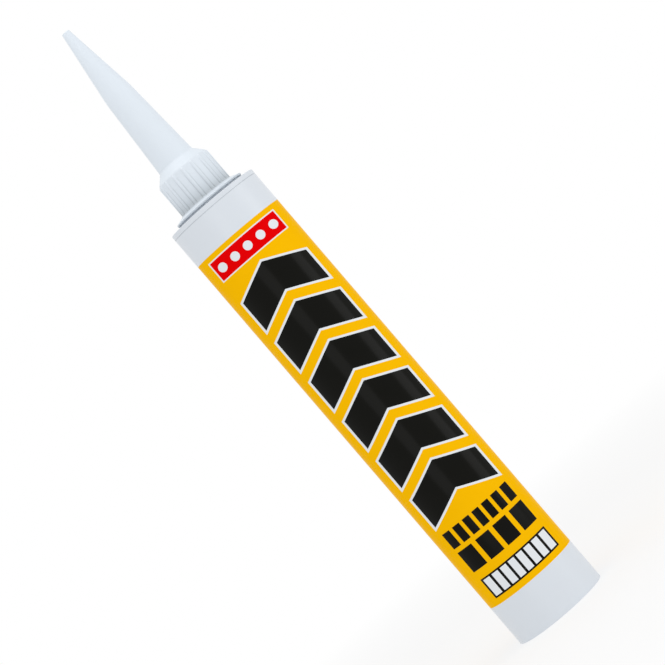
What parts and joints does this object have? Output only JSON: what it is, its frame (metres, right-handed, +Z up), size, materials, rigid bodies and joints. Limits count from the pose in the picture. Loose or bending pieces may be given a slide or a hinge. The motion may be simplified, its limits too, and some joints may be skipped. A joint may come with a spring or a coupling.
{
  "type": "caulk tube",
  "caption": "Cylindrical sealant cartridge for a caulking gun, with a screw-on tapered nozzle with a ribbed skirt, a front cap, a wrap label and a sliding rear piston.",
  "frame": {"origin": "centre of the rear rim, on the surface that the cartridge stands on", "axes": "+Z up along the barrel's axis, from the rear rim to the nozzle's tip; -Y is the printed front of the label"},
  "size_m": [0.05, 0.05, 0.363],
  "materials": {
    "barrel_plastic": "smooth extruded white polyethylene, soft gloss",
    "cap_plastic": "moulded white polyethylene, soft gloss",
    "foil": "rolled foil, satin",
    "nozzle_plastic": "moulded translucent white polyethylene, satin",
    "piston_plastic": "moulded white polyethylene, satin",
    "sealant_paste": "smooth off-white paste",
    "label_yellow": "gloss printed film",
    "label_red": "gloss printed film",
    "label_white": "gloss printed film",
    "label_black": "gloss printed film"
  },
  "bodies": {
    "cartridge": {"barrel": "barrel_plastic", "front_cap": "cap_plastic", "foil_seal": "foil", "sealant": "sealant_paste", "label_film": "label_yellow", "label_red": "label_red", "label_white": "label_white", "label_black": "label_black"},
    "nozzle": {"nozzle": "nozzle_plastic"},
    "piston": {"piston": "piston_plastic"}
  },
  "joints": [
    {"name": "nozzle_lift", "type": "slide", "parent": "cartridge", "child": "nozzle", "axis": [0, 0, 1], "range_m": [0, 0.03]},
    {"name": "piston_slide", "type": "slide", "parent": "cartridge", "child": "piston", "axis": [0, 0, 1], "range_m": [0, 0.1965], "deforming": ["sealant"]}
  ]
}
